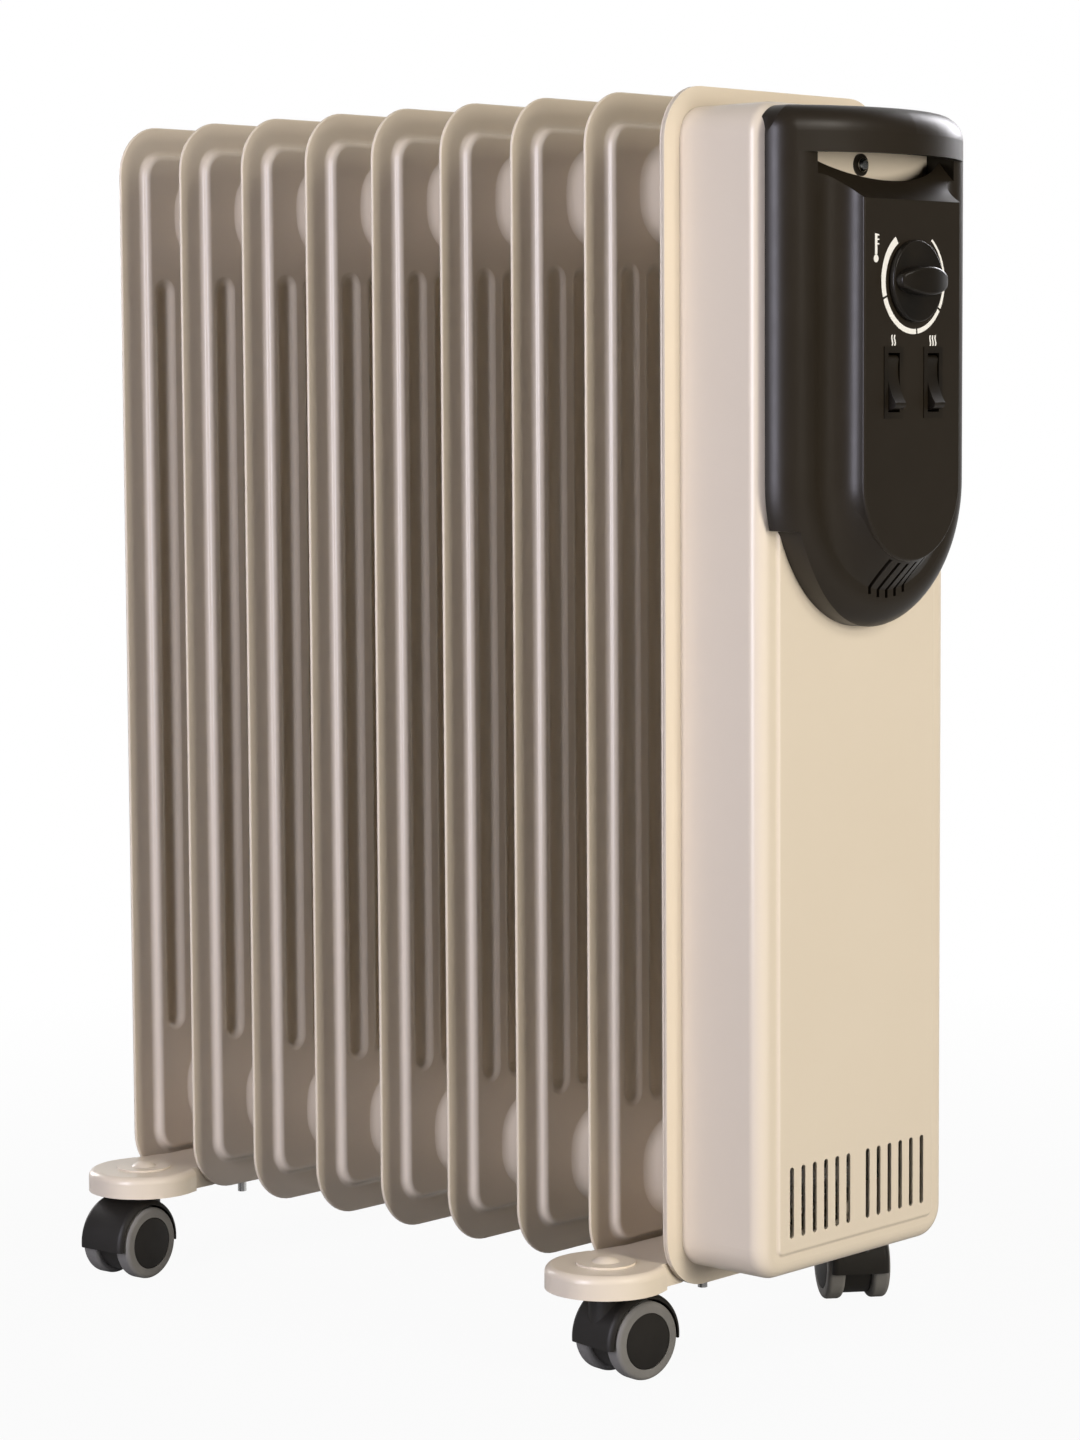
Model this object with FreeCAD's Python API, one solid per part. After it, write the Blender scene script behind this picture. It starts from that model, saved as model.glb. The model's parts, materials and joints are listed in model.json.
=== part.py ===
import FreeCAD, Part

import math
import os

# Oil-filled radiator on casters, millimetres.
# +X runs along the fin stack to the control end, +Y across the fins, +Z up.
# The origin is on the floor, under the middle of the whole object.

V = FreeCAD.Vector

# How far a cutter runs past a face, how near counts as level,
# and the most of a wall that its rounding may take
PAST = 1.0
LEVEL = 0.01
ROUND_SHARE = 0.8

# Fins: two pressed plates, seam welded round the edge, hollow inside
FIN_COUNT = 9
FIN_PITCH = 50.0
FIN_WIDTH = 175.0
FIN_HEIGHT = 600.0
FIN_CORNER = 28.0
SHEET = 0.9
SEAM_FLANGE = 13.0
STEP_RUN = 5.5
PANEL_RISE = 5.6
FLUTE_PITCH = 20.0
FLUTE_LAND = 2.6
FLUTE_DEPTH = 3.6
FLUTE_END_GAP = 84.0
CREST_BLEND = 0.06
HUB_INSET = 50.0
HUB_BASE_HALF_Y = 47.0
HUB_BASE_HALF_Z = 31.0
NECK_RADIUS = 25.0
NECK_STRAIGHT = 6.0
FLARE_STEPS = 4
BLIND_HUB_RISE = 4.0
BLIND_HUB_DRAW_IN = 9.0
HUB_SINK = 0.4
OVAL_MARGIN = 0.00001

# Casters: twin wheels under a half-drum hood, trailing behind the stem
WHEEL_RADIUS = 20.0
TYRE_DEPTH = 5.6
TYRE_EDGE = 2.4
WHEEL_WIDTH = 11.0
WHEEL_INNER = 7.5
WHEEL_CAP = 2.4
WHEEL_DOME = 1.2
HUB_EDGE = 0.8
HOOD_GAP = 1.2
HOOD_WALL = 2.8
HOOD_HALF_WIDTH = 16.0
HOOD_EDGE = 3.5
HOOD_SKIRT = 2.0
WEB_GAP = 0.5
AXLE_RADIUS = 3.0
WEB_RADIUS = 17.0
AXLE_FIT = 0.06
TRAIL = 13.0
STEM_RADIUS = 5.0
STEM_FIT = 0.08
STEM_GRIP = 6.0
COLLAR_RADIUS = 8.5
COLLAR_GAP = 0.2
STEM_BOSS_RADIUS = 9.0
FIN_OVER_HOOD = 1.0
TRAIL_ANGLES = {"front_left": 82.0, "front_right": 141.0, "rear_left": -84.0, "rear_right": 84.0}

# Feet: a bar between two fins, with a round pad over each caster
FOOT_RISE = 2.0
FOOT_THICK = 12.0
FOOT_FIN_GAP = 3.0
FOOT_BAR_HALF_LENGTH = 66.0
PAD_OFFSET = 15.5
PAD_RADIUS = 31.0
PAD_EDGE = 4.0
PAD_WALL = 3.0
PAD_FIN_GAP = 0.8
PAD_RING_RADIUS = 15.0
PAD_RING_RISE = 1.0
PAD_DOME_RADIUS = 8.0
PAD_DOME_RISE = 3.5
SOCKET_WALL = 5.0
SOCKET_ROOF = 1.6
SADDLE_HALF_LENGTH = 18.0
SADDLE_THICK = 10.0
SADDLE_FIT = 0.2
BOLT_RADIUS = 2.5
BOLT_HOLE_FIT = 0.2
BOLT_TAIL = 14.0
NUT_RADIUS = 4.6
NUT_HEIGHT = 6.0
NUT_FIT = 0.05
WING_REACH = 10.0
WING_THICK = 2.4
WING_HEIGHT = 5.0

# End cover: drawn sheet metal over the control end
COVER_SEAT_GAP = 0.3
COVER_FIN_GAP = 0.3
COVER_END_EXTRA = 1.5
COVER_DEPTH = 55.0
COVER_SHEET = 1.2
COVER_EDGE = 8.0
FIELD_RISE = 1.5
FIELD_INSET = 11.0
FIELD_RUN = 3.0
VENT_COUNT = 6
VENT_PITCH = 9.1
VENT_WIDTH = 3.2
VENT_HEIGHT = 36.0
VENT_ABOVE_COVER = 20.0
VENT_GROUP_GAP = 16.0
STUD_RADIUS = 8.0
STUD_BELOW_CONSOLE = 26.5
SCREW_RADIUS = 2.5
SCREW_FIT = 0.2
SCREW_HEAD_RADIUS = 3.6
SCREW_HEAD_RISE = 2.2
SCREW_LENGTH = 20.0
WASHER_RADIUS = 5.5
WASHER_THICK = 1.2

# Console: the moulded control housing; heights are measured down from its top
CONSOLE_INSET = 1.5
CONSOLE_BELOW_COVER = 2.0
CONSOLE_FIT = 0.1
CONSOLE_WRAP = 7.0
CONSOLE_LIP = 3.0
CONSOLE_RISE = 33.2
CONSOLE_ROLL = 17.0
FACE_HALF_WIDTH = 39.0
FACE_EDGE = 1.2
FACE_TOP = 45.0
FACE_ARC_DROP = 183.0
FACE_WALL = 3.0
SHELL_WALL = 4.0
SKIRT_END = 205.4
NOTCH_STEP = 0.6
NOTCH_RUN = 7.3
TONGUE_DROP = 255.2
TONGUE_FULLNESS = 0.6
VISOR_RISE = 35.0
VISOR_HEIGHT = 23.0
VISOR_TOP_EDGE = 13.0
VISOR_WALL = 4.0
NECK_BACK = 25.7
NECK_MID_BACK = 14.2
NECK_MID_RISE = 9.9
POCKET_HALF = 55.0
POCKET_DEPTH = 19.0
POCKET_SIDE_DEPTH = 7.7
POCKET_FLOOR = 41.0
NOSE_VENT_COUNT = 5
NOSE_VENT_PITCH = 6.8
NOSE_VENT_WIDTH = 2.2
NOSE_VENT_DEPTH = 2.5
NOSE_VENT_START = 2.0
NOSE_VENT_LENGTH = 23.0
CHIN_STEPS = 5
CHIN_SINK = 0.4
WINDOW_HALF_WIDTH = 30.0
WINDOW_BELOW_FACE_TOP = 23.0
FIXING_RADIUS = 1.6
FIXING_HEAD_RADIUS = 3.2
FIXING_HEAD_RISE = 2.2
FIXING_GRIP = 4.0
FIXING_INSET = 22.5
FIXING_DROPS = (75.0, 165.0)

# Thermostat and its knob
DIAL_DROP = 84.5
KNOB_RADIUS = 20.0
KNOB_BASE = 3.0
KNOB_HEIGHT = 11.0
KNOB_GAP = 0.6
KNOB_EDGE = 1.0
GRIP_REACH = 18.5
GRIP_HALF_WIDTH = 7.0
GRIP_END_ROUND = 4.2
GRIP_CROWN = 4.0
GRIP_EDGE = 1.5
SHAFT_RADIUS = 3.0
SHAFT_FIT = 0.06
SHAFT_SEAT_FIT = 0.02
SHAFT_INTO_KNOB = 8.0
SHAFT_INTO_BODY = 12.0
BUSH_RADIUS = 5.0
BUSH_FIT = 0.1
BUSH_BELOW_FACE = 0.5
THERMOSTAT_HALF = 17.0
THERMOSTAT_DEPTH = 20.0
THERMOSTAT_EDGE = 2.0

# Rocker switches
ROCKER_DROP = 134.0
ROCKER_OFFSET = 16.0
ROCKER_HALF_LENGTH = 13.4
ROCKER_HALF_WIDTH = 4.2
ROCKER_END_RISE = 4.0
ROCKER_MID_RISE = 1.8
ROCKER_ROUND = 2.5
ROCKER_BACK = 5.0
ROCKER_TILT = 12.0
ROCKER_SIDE_GAP = 0.4
ROCKER_END_GAP = 0.5
ROCKER_PIN_RADIUS = 1.25
ROCKER_PIN_FIT = 0.06
ROCKER_PIN_INTO_WALL = 0.9
PIVOT_BELOW_FACE = 1.5
SWITCH_WALL = 1.4
SWITCH_FRAME = 1.6
SWITCH_FRAME_RISE = 0.5
SWITCH_DEPTH = 22.0
SWITCH_ROOM = 8.0
SWITCH_FIT = 0.1

# Heating element and the other pieces inside the cover
TUBE_RADIUS = 4.0
TUBE_BEND_RADIUS = 9.0
TUBE_SPLIT = 8.0
TUBE_FIT = 0.05
TUBE_END_CLEAR = 30.0
TUBE_TAIL = 6.0
PIN_RADIUS = 1.5
PIN_LENGTH = 7.0
GASKET_THICK = 1.5
FLANGE_THICK = 4.0
FLANGE_OVERLAP = 4.0
SPIGOT_FIT = 0.1
SPIGOT_LENGTH = 8.0
SIDE_PIECE_CLEAR = 7.8
CUTOUT_RADIUS = 8.0
CUTOUT_HEIGHT = 9.0
CUTOUT_STEP = 1.5
BLOCK_WIDTH = 16.0
BLOCK_HEIGHT = 26.0
BLOCK_DEPTH = 14.0
BLOCK_WELLS = 3
BLOCK_WELL_RADIUS = 2.2
BLOCK_WELL_DEPTH = 6.0
GLAND_OFFSET = 30.0
GLAND_BORE = 4.2
GLAND_WALL = 3.0
GLAND_HEAD_WALL = 5.0
GLAND_HEAD = 5.0
GLAND_INSIDE = 10.0
GLAND_FIT = 0.1

# Places worked out from the sizes above
HOOD_RADIUS = WHEEL_RADIUS + HOOD_GAP + HOOD_WALL
FIN_BOTTOM = WHEEL_RADIUS + HOOD_RADIUS + FIN_OVER_HOOD
FIN_TOP = FIN_BOTTOM + FIN_HEIGHT
FIN_MID = FIN_BOTTOM + FIN_HEIGHT / 2
PANEL_INSET = SEAM_FLANGE + STEP_RUN
FLUTE_COUNT = int((FIN_WIDTH - 2 * PANEL_INSET + FLUTE_LAND) / FLUTE_PITCH)
HUB_LOW = FIN_BOTTOM + HUB_INSET
HUB_HIGH = FIN_TOP - HUB_INSET
HALF_PITCH = FIN_PITCH / 2
BLIND_RISE = PANEL_RISE + BLIND_HUB_RISE
PAD_Y = FIN_WIDTH / 2 + PAD_OFFSET
FRONT_REACH = COVER_DEPTH + CONSOLE_RISE + KNOB_GAP + KNOB_HEIGHT
REAR_REACH = max(BLIND_RISE, PAD_RADIUS - HALF_PITCH)
STACK = (FIN_COUNT - 1) * FIN_PITCH
REAR_FIN_X = -(STACK + FRONT_REACH - REAR_REACH) / 2
FRONT_FIN_X = REAR_FIN_X + STACK
COVER_X = FRONT_FIN_X + COVER_DEPTH
COVER_BACK = FRONT_FIN_X + SHEET + COVER_FIN_GAP
COVER_INSET_SIDE = SEAM_FLANGE - COVER_SHEET - COVER_SEAT_GAP
COVER_INSET_END = COVER_INSET_SIDE - COVER_END_EXTRA
COVER_CORNER = FIN_CORNER - COVER_INSET_SIDE
COVER_WIDTH = FIN_WIDTH - 2 * COVER_INSET_SIDE
SIDE_PIECE_Y = COVER_WIDTH / 2 - COVER_SHEET - SIDE_PIECE_CLEAR - BLOCK_WIDTH / 2
COVER_HEIGHT = FIN_HEIGHT - 2 * COVER_INSET_END
COVER_LOW = FIN_BOTTOM + COVER_INSET_END
FACE_X = COVER_X + CONSOLE_RISE
CONSOLE_TOP = FIN_TOP - COVER_INSET_END - CONSOLE_BELOW_COVER
CONSOLE_HALF = COVER_WIDTH / 2 - CONSOLE_INSET
FACE_ARC_Z = CONSOLE_TOP - FACE_ARC_DROP
VISOR_LOW = CONSOLE_TOP - VISOR_HEIGHT
DIAL_Z = CONSOLE_TOP - DIAL_DROP
ROCKER_Z = CONSOLE_TOP - ROCKER_DROP
STUD_Z = CONSOLE_TOP - STUD_BELOW_CONSOLE
FOOT_LOW = FIN_BOTTOM + FOOT_RISE
FOOT_HIGH = FOOT_LOW + FOOT_THICK
BAR_HALF = HALF_PITCH - FOOT_FIN_GAP - SHEET / 2
BOLT_Y = NECK_RADIUS + SADDLE_FIT + BOLT_RADIUS
FOOT_X = {"front": FRONT_FIN_X - HALF_PITCH, "rear": REAR_FIN_X + HALF_PITCH}
SIDES = {"left": -1, "right": 1}


# Small shape helpers

def box(x0, x1, y0, y1, z0, z1):
    return Part.makeBox(x1 - x0, y1 - y0, z1 - z0, V(x0, y0, z0))


def rod_x(radius, x0, x1, y, z):
    return Part.makeCylinder(radius, x1 - x0, V(x0, y, z), V(1, 0, 0))


def rod_y(radius, y0, y1, x, z):
    return Part.makeCylinder(radius, y1 - y0, V(x, y0, z), V(0, 1, 0))


def rod_z(radius, z0, z1, x, y):
    return Part.makeCylinder(radius, z1 - z0, V(x, y, z0), V(0, 0, 1))


def path_face(path, place):
    """A flat face from a closed path of lines (2 points) and arcs (3 points)."""
    edges = []
    for stretch in path:
        points = [place(*p) for p in stretch]
        if len(points) == 2:
            edges.append(Part.makeLine(*points))
        else:
            edges.append(Part.Arc(*points).toShape())
    return Part.Face(Part.Wire(Part.__sortEdges__(edges)))


def corner_arc(start, corner, end):
    """The quarter arc that rounds a square corner, as three points."""
    middle = []
    for a, c, b in zip(start, corner, end):
        centre = a + b - c
        middle.append(centre + (c - centre) * math.sqrt(0.5))
    return (start, tuple(middle), end)


def s_curve(start, end):
    """Two tangent arcs that leave and arrive level in the first coordinate."""
    run = end[0] - start[0]
    rise = end[1] - start[1]
    half_turn = math.atan2(abs(rise), abs(run))
    radius = (rise * rise + run * run) / (4 * abs(rise))
    along = math.copysign(radius * math.sin(half_turn), run)
    up = math.copysign(radius * (1 - math.cos(half_turn)), rise)
    middle = ((start[0] + end[0]) / 2, (start[1] + end[1]) / 2)
    first = (start, (start[0] + along, start[1] + up), middle)
    second = (middle, (end[0] - along, end[1] - up), end)
    return [first, second]


def bowed_quarter(reach, rise, roll, wall):
    """A round end of the roll's radius that runs into a flat bow, drawn in by a wall, as two arcs."""
    inner = reach - roll
    bow = (inner ** 2 + rise ** 2 - roll ** 2) / (2 * (rise - roll))
    drop = bow - rise
    turn = math.atan2(inner, drop)
    radius = bow - wall
    end = roll - wall
    meet = (radius * math.sin(turn), radius * math.cos(turn) - drop)
    bend = (radius * math.sin(turn / 2), radius * math.cos(turn / 2) - drop)
    end_turn = (math.pi / 2 + turn) / 2
    end_bend = (inner + end * math.sin(end_turn), end * math.cos(end_turn))
    return [((inner + end, 0), end_bend, meet), (meet, bend, (0, radius - drop))]


def fuse_all(shapes):
    return shapes[0].multiFuse(shapes[1:]).removeSplitter()


def rounded_rect(width, height, corner, z_mid, x0, x1):
    """A rounded rectangular plate that stands across X."""
    y = width / 2
    z = height / 2
    rows = []
    for sy, sz in ((-1, -1), (1, -1), (1, 1), (-1, 1)):
        along_y = (sy * (y - corner), sz * z)
        along_z = (sy * y, sz * (z - corner))
        rows.append((along_y, along_z) if sy * sz < 0 else (along_z, along_y))
    path = []
    for index, (start, end) in enumerate(rows):
        square = (math.copysign(y, start[0]), math.copysign(z, start[1]))
        path.append(corner_arc(start, square, end))
        path.append((end, rows[(index + 1) % 4][0]))
    face = path_face(path, lambda py, pz: V(x0, py, z_mid + pz))
    return face.extrude(V(x1 - x0, 0, 0))


def swept_slab(width, height, corner, z_mid, profile, x0, x1):
    """A slab whose edge profile (inward distance, x) runs round a rounded rectangle."""
    y_in = width / 2 - corner
    z_low = z_mid - height / 2
    below = path_face(profile, lambda d, x: V(x, -y_in, z_low + d))
    beside = path_face(profile, lambda d, x: V(x, -width / 2 + d, z_low + corner))
    low = below.extrude(V(0, 2 * y_in, 0))
    left = beside.extrude(V(0, 0, height - 2 * corner))
    quarter = below.revolve(V(0, -y_in, z_low + corner), V(1, 0, 0), -90)
    right_quarter = quarter.mirror(V(0, 0, 0), V(0, 1, 0))
    pieces = [box(x0, x1, -y_in, y_in, z_low + corner, z_low + height - corner)]
    pieces += [low, low.mirror(V(0, 0, z_mid), V(0, 0, 1))]
    pieces += [left, left.mirror(V(0, 0, 0), V(0, 1, 0))]
    pieces += [quarter, quarter.mirror(V(0, 0, z_mid), V(0, 0, 1))]
    pieces += [right_quarter, right_quarter.mirror(V(0, 0, z_mid), V(0, 0, 1))]
    return fuse_all(pieces)


def upright_slot(width, y, z0, z1, x0, x1):
    """A slot cutter along X with round ends."""
    half = width / 2
    parts = [box(x0, x1, y - half, y + half, z0 + half, z1 - half)]
    parts.append(rod_x(half, x0, x1, y, z0 + half))
    parts.append(rod_x(half, x0, x1, y, z1 - half))
    return fuse_all(parts)


def export(name, shape):
    shape.exportStep(os.path.join("parts", name + ".step"))


# Fins

def fin_edge_profile():
    """Rim, seam flange, step and panel of both plates, from the fin's edge inward."""
    crest = PANEL_INSET
    path = [((SHEET, SHEET), (0, 0), (SHEET, -SHEET))]
    path.append(((SHEET, -SHEET), (SEAM_FLANGE, -SHEET)))
    path += s_curve((SEAM_FLANGE, -SHEET), (crest, -PANEL_RISE))
    path.append(((crest, -PANEL_RISE), (FIN_CORNER, -PANEL_RISE)))
    path.append(((FIN_CORNER, -PANEL_RISE), (FIN_CORNER, PANEL_RISE)))
    path.append(((FIN_CORNER, PANEL_RISE), (crest, PANEL_RISE)))
    path += s_curve((crest, PANEL_RISE), (SEAM_FLANGE, SHEET))
    path.append(((SEAM_FLANGE, SHEET), (SHEET, SHEET)))
    return path


def flute_cutter(sink):
    """The hollow over one flute, round at both ends, on the front plate at Y = 0."""
    half = (FLUTE_PITCH - FLUTE_LAND) / 2
    low = PANEL_RISE - FLUTE_DEPTH - sink
    high = PANEL_RISE + CREST_BLEND - sink
    over = PANEL_RISE + PAST
    side = s_curve((0, low), (half, high))
    side.append(((half, high), (half, over)))
    side.append(((half, over), (0, over)))
    side.append(((0, over), (0, low)))
    z0 = FIN_BOTTOM + FLUTE_END_GAP + half
    z1 = FIN_TOP - FLUTE_END_GAP - half
    face = path_face(side, lambda y, x: V(x, y, z0))
    run = face.extrude(V(0, 0, z1 - z0))
    other = run.mirror(V(0, 0, 0), V(0, 1, 0))
    foot = face.revolve(V(0, 0, z0), V(1, 0, 0), -180)
    head = foot.mirror(V(0, 0, FIN_MID), V(0, 0, 1))
    return fuse_all([run, other, foot, head])


def flute_row(sink):
    cutter = flute_cutter(sink)
    row = []
    for index in range(FLUTE_COUNT):
        copy = cutter.translated(V(0, (index - (FLUTE_COUNT - 1) / 2) * FLUTE_PITCH, 0))
        row += [copy, copy.mirror(V(0, 0, 0), V(1, 0, 0))]
    return row


def fin_shell():
    """A sealed hollow fin, before its hubs."""
    outer = swept_slab(FIN_WIDTH, FIN_HEIGHT, FIN_CORNER, FIN_MID,
                       fin_edge_profile(), -PANEL_RISE, PANEL_RISE)
    inner = PANEL_RISE - SHEET
    room = rounded_rect(FIN_WIDTH - 2 * PANEL_INSET, FIN_HEIGHT - 2 * PANEL_INSET,
                        FIN_CORNER - PANEL_INSET, FIN_MID, -inner, inner)
    return outer.cut(flute_row(0)).cut(room.cut(flute_row(SHEET)))


def oval(half_y, half_z, x, z):
    """An upright ellipse; its long axis is kept a hair longer than the short one."""
    centre = V(x, 0, z)
    long_half = max(half_y, half_z + OVAL_MARGIN)
    edge = Part.Ellipse(V(x, long_half, z), V(x, 0, z + half_z), centre).toShape()
    return Part.Wire(edge)


def hub(z, wall):
    """The flared hub on the front plate; wall draws every face inward."""
    x0 = PANEL_RISE - HUB_SINK - wall
    x1 = HALF_PITCH - NECK_STRAIGHT
    neck = NECK_RADIUS - wall
    sections = []
    for step in range(FLARE_STEPS + 1):
        share = step / FLARE_STEPS
        flare = (1 - share) ** 2
        half_y = neck + (HUB_BASE_HALF_Y - NECK_RADIUS) * flare
        half_z = neck + (HUB_BASE_HALF_Z - NECK_RADIUS) * flare
        sections.append(oval(half_y, half_z, x0 + share * (x1 - x0), z))
    flare = Part.makeLoft(sections, True, False)
    return flare.fuse(Part.Face(sections[-1]).extrude(V(NECK_STRAIGHT, 0, 0)))


def blind_hub(z, wall):
    """The closed pressing that takes a hub's place on an outer plate."""
    x0 = PANEL_RISE - HUB_SINK - wall
    x1 = BLIND_RISE - wall
    base = oval(HUB_BASE_HALF_Y - wall, HUB_BASE_HALF_Z - wall, x0, z)
    top = oval(HUB_BASE_HALF_Y - BLIND_HUB_DRAW_IN - wall,
               HUB_BASE_HALF_Z - BLIND_HUB_DRAW_IN - wall, x1, z)
    return Part.makeLoft([base, top], True, True)


def fin(shell, front_low, front_high, rear_low, rear_high):
    outers = [front_low(HUB_LOW, 0), front_high(HUB_HIGH, 0)]
    bores = [front_low(HUB_LOW, SHEET), front_high(HUB_HIGH, SHEET)]
    for make, z in ((rear_low, HUB_LOW), (rear_high, HUB_HIGH)):
        outers.append(make(z, 0).mirror(V(0, 0, 0), V(1, 0, 0)))
        bores.append(make(z, SHEET).mirror(V(0, 0, 0), V(1, 0, 0)))
    return shell.multiFuse(outers).cut(bores)


def make_fins():
    shell = fin_shell()
    rear = fin(shell, hub, hub, blind_hub, blind_hub)
    middle = fin(shell, hub, hub, hub, hub)
    front = fin(shell, hub, blind_hub, hub, hub)
    for index in range(FIN_COUNT):
        shape = middle
        if index == 0:
            shape = rear
        if index == FIN_COUNT - 1:
            shape = front
        export("fin_%d" % (index + 1), shape.translated(V(REAR_FIN_X + index * FIN_PITCH, 0, 0)))


# End cover

def cover_profile(wall):
    """Side wall, rounded edge, rim and raised field, drawn in by a wall."""
    rim = COVER_X - FIELD_RISE - wall
    edge = COVER_EDGE - wall
    field = FIELD_INSET + FIELD_RUN
    path = [((wall, COVER_BACK), (wall, rim - edge))]
    path.append(corner_arc((wall, rim - edge), (wall, rim), (wall + edge, rim)))
    path.append(((wall + edge, rim), (FIELD_INSET, rim)))
    path += s_curve((FIELD_INSET, rim), (field, COVER_X - wall))
    path.append(((field, COVER_X - wall), (COVER_CORNER, COVER_X - wall)))
    path.append(((COVER_CORNER, COVER_X - wall), (COVER_CORNER, COVER_BACK)))
    path.append(((COVER_CORNER, COVER_BACK), (wall, COVER_BACK)))
    return path


def cover_block(wall):
    return swept_slab(COVER_WIDTH, COVER_HEIGHT, COVER_CORNER, FIN_MID,
                      cover_profile(wall), COVER_BACK, COVER_X - wall)


def vent_slots():
    cutters = []
    z0 = COVER_LOW + VENT_ABOVE_COVER
    for side in SIDES.values():
        for index in range(VENT_COUNT):
            y = side * (VENT_GROUP_GAP / 2 + index * VENT_PITCH)
            cutters.append(upright_slot(VENT_WIDTH, y, z0, z0 + VENT_HEIGHT,
                                        COVER_X - COVER_EDGE, COVER_X + PAST))
    return cutters


def fixing_places():
    for side in SIDES.values():
        for drop in FIXING_DROPS:
            yield side * (CONSOLE_HALF - FIXING_INSET), CONSOLE_TOP - drop


def make_end_cover():
    flange = rounded_rect(FIN_WIDTH, FIN_HEIGHT, FIN_CORNER, FIN_MID,
                          COVER_BACK, COVER_BACK + COVER_SHEET)
    shape = fuse_all([cover_block(0), flange]).cut(cover_block(COVER_SHEET))
    cutters = vent_slots()
    back = COVER_X - COVER_EDGE
    front = COVER_X + PAST
    cutters.append(box(back, front, -WINDOW_HALF_WIDTH, WINDOW_HALF_WIDTH,
                       FACE_ARC_Z, CONSOLE_TOP - FACE_TOP - WINDOW_BELOW_FACE_TOP))
    cutters.append(rod_x(SCREW_RADIUS + SCREW_FIT, back, front, 0, STUD_Z))
    for y, z in fixing_places():
        cutters.append(rod_x(FIXING_RADIUS, back, front, y, z))
    gland_hole = GLAND_BORE + GLAND_WALL + GLAND_FIT
    cutters.append(rod_z(gland_hole, COVER_LOW - PAST, COVER_LOW + COVER_EDGE, gland_x(), GLAND_OFFSET))
    export("end_cover", shape.cut(cutters))


def make_cover_fixing():
    """The spacer on the top hub, and the screw and washer that hold the cover to it."""
    inner = COVER_X - COVER_SHEET
    seat = COVER_X + WASHER_THICK
    shank = rod_x(SCREW_RADIUS, inner - SCREW_LENGTH, seat, 0, STUD_Z)
    stud = rod_x(STUD_RADIUS, FRONT_FIN_X + BLIND_RISE, inner, 0, STUD_Z)
    washer = rod_x(WASHER_RADIUS, COVER_X, seat, 0, STUD_Z)
    head = rod_x(SCREW_HEAD_RADIUS, seat, seat + SCREW_HEAD_RISE, 0, STUD_Z)
    rim = [e for e in head.Edges if e.BoundBox.XMin > seat + SCREW_HEAD_RISE / 2 and e.Closed]
    head = head.makeFillet(SCREW_HEAD_RISE * ROUND_SHARE, rim)
    export("cover_stud", stud.cut(shank))
    export("cover_washer", washer.cut(rod_x(SCREW_RADIUS + SCREW_FIT, COVER_X, seat, 0, STUD_Z)))
    export("cover_screw", shank.fuse(head))


def make_console_screws():
    screws = []
    inner = COVER_X - COVER_SHEET
    for y, z in fixing_places():
        head = rod_x(FIXING_HEAD_RADIUS, inner - FIXING_HEAD_RISE, inner, y, z)
        screws.append(head.fuse(rod_x(FIXING_RADIUS, inner, COVER_X + FIXING_GRIP, y, z)))
    export("console_screws", Part.makeCompound(screws))


# Console

def flank_radius():
    return CONSOLE_RISE - FACE_EDGE - CONSOLE_ROLL


def console_profile():
    """Half section of the console across Y: rolled rim, shelf, hollow flank, crisp edge, face."""
    back = COVER_X - CONSOLE_WRAP
    seat = CONSOLE_HALF - CONSOLE_LIP
    crest = COVER_X + CONSOLE_ROLL
    roll_in = CONSOLE_HALF - CONSOLE_ROLL
    flank = flank_radius()
    flank_out = FACE_HALF_WIDTH + flank
    edge_x = FACE_X - FACE_EDGE
    hollow = (flank_out - flank * math.sqrt(0.5), edge_x - flank * math.sqrt(0.5))
    path = [((0, back), (seat, back))]
    path.append(((seat, back), (seat, COVER_X)))
    path.append(((seat, COVER_X), (CONSOLE_HALF, COVER_X)))
    path.append(corner_arc((CONSOLE_HALF, COVER_X), (CONSOLE_HALF, crest), (roll_in, crest)))
    path.append(((roll_in, crest), (flank_out, crest)))
    path.append(((flank_out, crest), hollow, (FACE_HALF_WIDTH, edge_x)))
    path.append(corner_arc((FACE_HALF_WIDTH, edge_x), (FACE_HALF_WIDTH, FACE_X),
                           (FACE_HALF_WIDTH - FACE_EDGE, FACE_X)))
    path.append(((FACE_HALF_WIDTH - FACE_EDGE, FACE_X), (0, FACE_X)))
    path.append(((0, FACE_X), (0, back)))
    return path


def chin():
    """Fills the hollow under the face to a straight slope, which dies out towards the sides."""
    flank = flank_radius()
    sections = []
    for step in range(CHIN_STEPS + 1):
        depth = flank * step / CHIN_STEPS
        half_y = FACE_HALF_WIDTH + flank - math.sqrt(flank ** 2 - depth ** 2) - CHIN_SINK
        half_z = max(FACE_HALF_WIDTH + depth - CHIN_SINK, half_y + OVAL_MARGIN)
        centre = V(FACE_X - FACE_EDGE - depth, 0, FACE_ARC_Z)
        ring = Part.Ellipse(centre + V(0, 0, half_z), centre + V(0, half_y, 0), centre)
        sections.append(Part.Wire(ring.toShape()))
    reach = CONSOLE_HALF
    low = box(COVER_X, FACE_X, -reach, reach, FACE_ARC_Z - reach, FACE_ARC_Z)
    return Part.makeLoft(sections, True, False).common(low)


def console_nose():
    """The section run up the housing and turned half round under the face."""
    half = path_face(console_profile(), lambda y, x: V(x, y, FACE_ARC_Z))
    run = half.extrude(V(0, 0, VISOR_LOW - FACE_ARC_Z))
    turn = half.revolve(V(0, 0, FACE_ARC_Z), V(1, 0, 0), -180)
    return fuse_all([run, run.mirror(V(0, 0, 0), V(0, 1, 0)), turn, chin()])


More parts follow.
